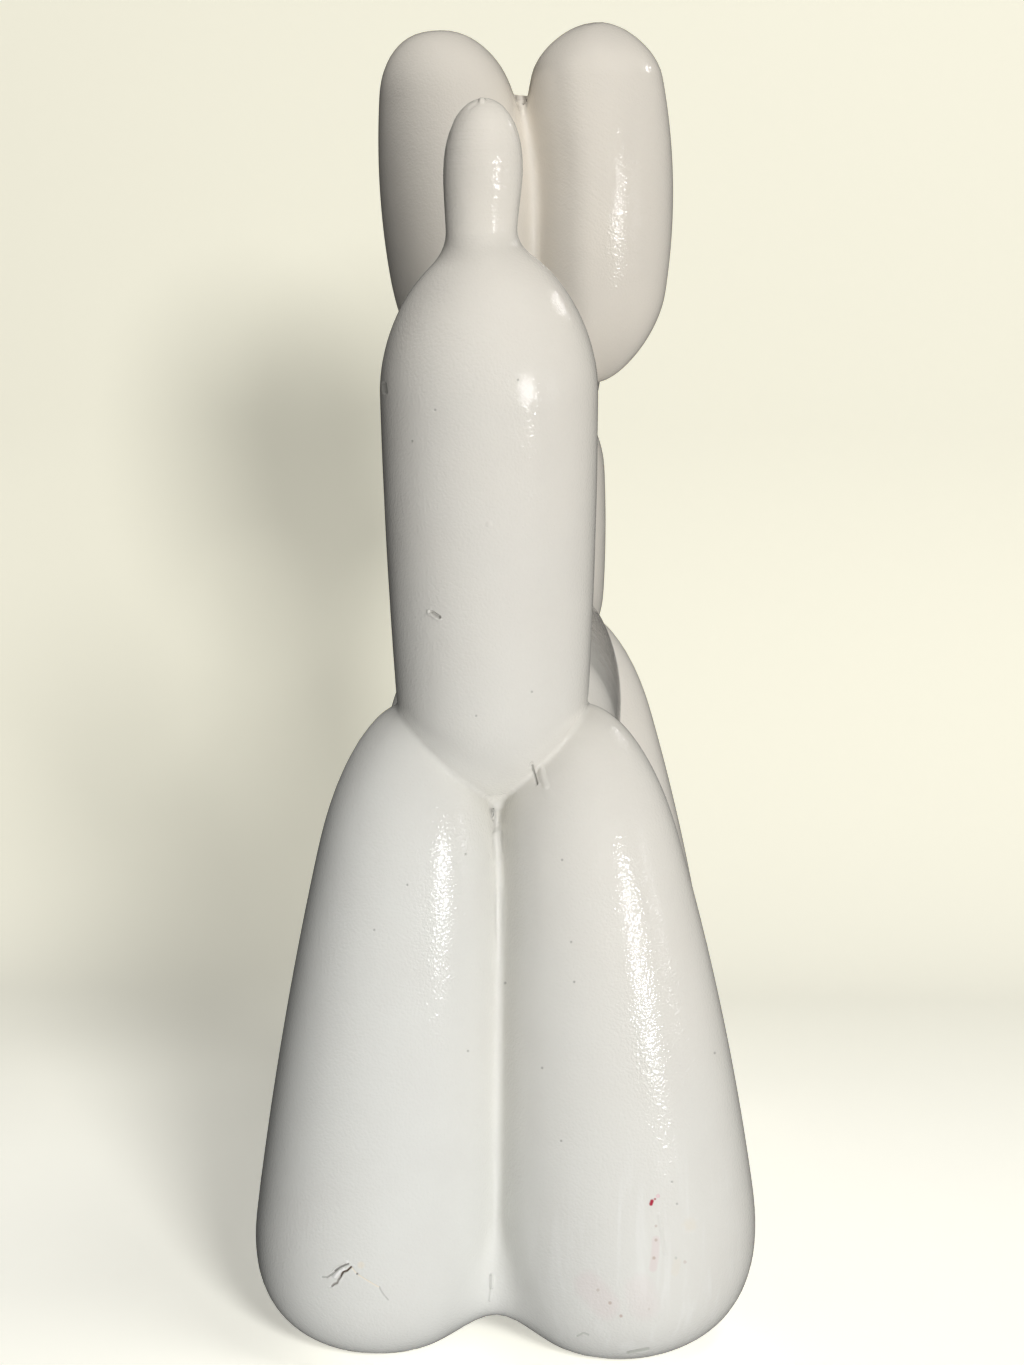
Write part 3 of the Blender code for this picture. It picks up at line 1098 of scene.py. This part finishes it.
def paint_material(look):
    """Gloss white paint over grainy casting, with brush marks and a drifting tint."""
    material, graph, shader = new_material("gloss_white_paint")
    place = graph.add("ShaderNodeTexCoord", output="Object")
    left, back, up = graph.along_axes(place)

    def near(centre, reach):
        """1 at a place of the skin, and 0 beyond its reach."""
        away = graph.add("ShaderNodeVectorMath", {"operation": "DISTANCE"}, {
            0: place, 1: centre}, output="Value")
        return 1 - graph.between(away, 0.3 * reach, reach)

    drift = TINT_UP * up + TINT_BACK * back + TINT_LEFT * left
    mottle = graph.noise(place, 24.0, detail=3.0)
    warmth = graph.between(drift + 0.10 * (mottle - 0.5), TINT_COOL, TINT_WARM)
    colour = graph.mix(warmth, look.cool_white, look.warm_white)
    cloud = graph.noise(place, 60.0, detail=4.0, roughness=0.6)
    colour = graph.mix(0.10 * graph.between(cloud, 0.35, 0.75), colour, look.thin_paint)

    # Runs of the brush down the right foot, paler where the paint is thick
    runs = graph.noise(graph.stretched(place, FOOT_LINES), 1.0, detail=3.0, distortion=0.6)
    brushed = near(FOOT_BRUSHED, FOOT_REACH)
    colour = graph.mix(0.32 * brushed * graph.between(runs, 0.48, 0.75), colour, look.thick_paint)

    # The marks' own colours, with the shade that is painted into the sunken marks
    mark = graph.add("ShaderNodeAttribute", {"attribute_name": "mark"}, output="Fac")
    mark_colour = graph.add(
        "ShaderNodeAttribute", {"attribute_name": "mark_colour"}, output="Color")
    colour = graph.mix(mark, colour, mark_colour)

    dulling = graph.between(graph.noise(place, 110.0, detail=3.0), 0.45, 0.80)
    roughness = look.roughness + 0.05 * dulling + 0.10 * brushed * runs + 0.35 * mark

    # Heights in parts of the bump's distance: grain, orange peel, slow waves and brush marks
    grain = graph.noise(place, 1700.0, detail=1.0)
    peel = graph.noise(place, 330.0, detail=2.0)
    waves = graph.noise(place, 62.0, detail=1.0)
    tip_lines = graph.noise(graph.stretched(place, TIP_LINES), 1.0, detail=1.0)
    ear_way = graph.add("ShaderNodeVectorRotate", {"rotation_type": "AXIS_ANGLE"}, {
        "Vector": place, "Axis": (0.0, 1.0, 0.0), "Angle": EAR_TURN})
    ear_lines = graph.noise(graph.stretched(ear_way, EAR_LINES), 1.0, detail=2.0)
    height = 3.1 * grain + 1.2 * peel + 4.0 * waves
    height = height + 4.0 * near(TIP_BRUSHED, TIP_REACH) * tip_lines
    height = height + 4.0 * near(EAR_BRUSHED, EAR_REACH) * ear_lines + 2.5 * brushed * runs
    bump = graph.add("ShaderNodeBump", None, {
        "Strength": 1.0, "Distance": look.grain_height, "Height": height})
    graph.feed(shader, {
        "Base Color": colour, "Roughness": roughness, "IOR": 1.5, "Normal": bump})
    return material


# The stage

PIECES = ("painted_casting", "knot_and_lip")

# The paper on the floor and behind the dog: where its front edge and its wall lie, the radius
# of the sweep between them, half its width and its height, in metres
STAGE_FRONT = 1.6
STAGE_WALL = -0.34
STAGE_SWEEP = 0.18
STAGE_HALF_WIDTH = 2.2
STAGE_TOP = 1.8

# How near to the wall or the floor an edge of the paper lies that is picked there, in metres
TOUCHING = 0.01

# Where the floor's colour begins to turn into the wall's, and how strongly the paper glows
FLOOR_END = 0.1
SHEET_GLOW = 0.45


class Lamp(NamedTuple):
    """An area light that looks at the dog's middle.

    turn is how far round the dog it stands, from behind the tail towards the dog's right, and
    rise how far up, in degrees. power is its watts, size its width and height and away its
    distance, in metres. A gloss lamp shows in the gloss of the paint alone, and any other lamp
    gives light and shade but doesn't show there.
    """

    turn: float
    rise: float
    power: float
    size: tuple = (0.4, 0.4)
    away: float = 1.45
    gloss: bool = False


STAGE_MIDDLE = Vector((0.0, 0.05, 0.15))

# The soft light on the dog. The lamps are named as the camera sees them: the front ones stand
# beside it, and the others above or beyond the dog
DOG_LAMPS = {
    "front_right": Lamp(16, 5, 7.3),
    "front_high": Lamp(22, 45, 4.7),
    "front_low": Lamp(14, -35, 10.2),
    "above": Lamp(0, 85, 8.6),
    "far_right": Lamp(120, 5, 6.6),
    "far_left": Lamp(-75, 5, 1.8),
    "beyond": Lamp(180, 25, 9.0, size=(0.6, 0.6)),
    "beyond_left": Lamp(-130, 10, 2.2, size=(0.5, 0.5)),
}

# What shows in the gloss: the long highlights of the bubbles, and the glints beside them
GLOSS_LAMPS = {
    "long_highlight": Lamp(38, 1, 2.4, size=(0.21, 0.12), away=1.1, gloss=True),
    "small_glint": Lamp(118, 34, 0.6, size=(0.05, 0.07), away=1.0, gloss=True),
    "faint_streak": Lamp(66, 4, 0.25, size=(0.05, 0.18), away=1.0, gloss=True),
}

# The light on the paper alone, which throws the dog's shadow on it
SHEET_LAMPS = {
    "wall_light": Lamp(18, 20, 18.6, size=(0.35, 0.35), away=1.6),
    "floor_light": Lamp(60, 60, 5.9, size=(0.6, 0.6), away=1.6),
}


def hang(name, lamp, share, lit):
    """Hang one light that shines on some objects only."""
    data = bpy.data.lights.new(name, "AREA")
    data.shape = "ELLIPSE"
    data.size, data.size_y = lamp.size
    data.energy = lamp.power * share
    light = bpy.data.objects.new(name, data)
    turn, rise = math.radians(lamp.turn), math.radians(lamp.rise)
    level = math.cos(rise)
    way = Vector((-math.sin(turn) * level, math.cos(turn) * level, math.sin(rise)))
    light.location = STAGE_MIDDLE + lamp.away * way
    light.rotation_euler = way.to_track_quat("Z", "Y").to_euler()
    light.visible_glossy = lamp.gloss
    light.visible_diffuse = not lamp.gloss
    bpy.context.collection.objects.link(light)
    group = bpy.data.collections.new("lit_by_" + name)
    for obj in lit:
        group.objects.link(obj)
    light.light_linking.receiver_collection = group


def paper_material(look):
    """Matt paper that glows a little, in the floor's colour near the dog and the wall's beyond."""
    material, graph, shader = new_material("stage_paper")
    _, away, _ = graph.along_axes(graph.add("ShaderNodeTexCoord", output="Object"))
    far = graph.between(away, FLOOR_END, STAGE_WALL)
    paper = graph.mix(far, look.floor_colour, look.wall_colour)
    graph.feed(shader, {
        "Base Color": paper, "Roughness": 1.0, "Specular IOR Level": 0.0,
        "Emission Color": paper, "Emission Strength": SHEET_GLOW})
    return material


def backdrop(look):
    """The floor, swept up into a wall behind the dog. It gives the dog no light or shade."""
    alone()
    bpy.ops.mesh.primitive_plane_add(size=1.0, location=(0, 0, 0))
    sheet = bpy.context.object
    sheet.name = "stage_sweep"
    with editing():
        bpy.ops.mesh.select_all(action="SELECT")
        bpy.ops.transform.resize(value=(2 * STAGE_HALF_WIDTH, STAGE_FRONT - STAGE_WALL, 1))
        bpy.ops.transform.translate(value=(0, (STAGE_FRONT + STAGE_WALL) / 2, 0))
    select_edges(sheet, lambda middle: middle.y < STAGE_WALL + TOUCHING)
    with editing():
        bpy.ops.mesh.extrude_region_move(TRANSFORM_OT_translate={"value": (0, 0, STAGE_TOP)})
    select_edges(
        sheet, lambda middle: middle.y < STAGE_WALL + TOUCHING and middle.z < TOUCHING)
    with editing():
        bpy.ops.mesh.bevel(offset=STAGE_SWEEP, segments=24, profile=0.5)
    bpy.ops.object.shade_smooth()
    sheet.visible_glossy = False
    sheet.visible_diffuse = False
    sheet.visible_shadow = False
    sheet.data.materials.append(paper_material(look))
    return sheet


# The dim light from all round: its strength in the dark, and what the right and the top add
AIR_DARK = 0.005
AIR_RIGHT = 0.05
AIR_TOP = 0.03
AIR_COLOUR = (1.0, 0.985, 0.95)


def studio_air():
    """Dim light from all round, brighter from the dog's right and from above."""
    world = bpy.data.worlds.new("studio_air")
    world.use_nodes = True
    graph = Graph(world.node_tree)
    side, _, top = graph.along_axes(graph.add("ShaderNodeTexCoord", output="Generated"))
    rightness = graph.between(side, 0.3, -0.9)
    topness = graph.between(top, 0.1, 1.0)
    strength = AIR_DARK + AIR_RIGHT * rightness + AIR_TOP * topness
    graph.feed(world.node_tree.nodes["Background"], {"Color": AIR_COLOUR, "Strength": strength})
    bpy.context.scene.world = world


def photo_camera():
    """The camera at the photograph's place."""
    right, up, forward = camera_axes()
    data = bpy.data.cameras.new("camera")
    data.sensor_fit = "VERTICAL"
    data.sensor_height = SENSOR_HEIGHT
    data.lens = PHOTO_FOCAL / PHOTO_HEIGHT * SENSOR_HEIGHT
    data.clip_start = 0.01
    camera = bpy.data.objects.new("camera", data)
    bpy.context.collection.objects.link(camera)
    turn = Matrix((right, up, -forward)).transposed().to_4x4()
    camera.matrix_world = Matrix.Translation(CAMERA_PLACE) @ turn
    bpy.context.scene.camera = camera


class BALLOONDOG_OT_stage(bpy.types.Operator):
    """Set the floor, the backdrop, the lights and the camera"""

    bl_idname = "balloondog.stage"
    bl_label = "Set the stage"

    def execute(self, context):
        look = context.scene.balloondog_stage
        alone()
        sheet = backdrop(look)
        studio_air()
        dog = [obj for obj in bpy.data.objects if obj.name in PIECES]
        for lamps, share, lit in (
                (DOG_LAMPS, look.dog_light, dog), (GLOSS_LAMPS, look.gloss_light, dog),
                (SHEET_LAMPS, look.sheet_light, [sheet])):
            for name, lamp in lamps.items():
                hang(name, lamp, share, lit)
        context.scene.view_settings.view_transform = "Standard"
        photo_camera()
        return {"FINISHED"}


class BALLOONDOG_PT_panel(bpy.types.Panel):
    """The pieces of the balloon dog"""

    bl_label = "Balloon Dog"
    bl_idname = "BALLOONDOG_PT_panel"
    bl_space_type = "VIEW_3D"
    bl_region_type = "UI"
    bl_category = "Balloon Dog"

    def draw(self, context):
        for settings in ("balloondog_sizes", "balloondog_paint", "balloondog_stage"):
            group = getattr(context.scene, settings)
            for name in group.__annotations__:
                self.layout.prop(group, name)
        for operator in OPERATORS:
            self.layout.operator(operator.bl_idname)


OPERATORS = (BALLOONDOG_OT_casting, BALLOONDOG_OT_knot, BALLOONDOG_OT_stage)
SETTINGS = {
    "balloondog_sizes": CastingSizes,
    "balloondog_paint": PaintLook,
    "balloondog_stage": StageLook,
}


def register():
    """Register the settings, the operators and the panel."""
    for group in SETTINGS.values():
        bpy.utils.register_class(group)
    for name, group in SETTINGS.items():
        setattr(bpy.types.Scene, name, bpy.props.PointerProperty(type=group))
    for part in (*OPERATORS, BALLOONDOG_PT_panel):
        bpy.utils.register_class(part)


def unregister():
    """Take the panel, the operators and the settings away again."""
    for part in (BALLOONDOG_PT_panel, *reversed(OPERATORS)):
        bpy.utils.unregister_class(part)
    for name, group in SETTINGS.items():
        delattr(bpy.types.Scene, name)
        bpy.utils.unregister_class(group)


def main():
    """Build the pieces and the stage."""
    register()
    bpy.ops.balloondog.casting()
    bpy.ops.balloondog.knot()
    bpy.ops.balloondog.stage()


if __name__ == "__main__":
    main()
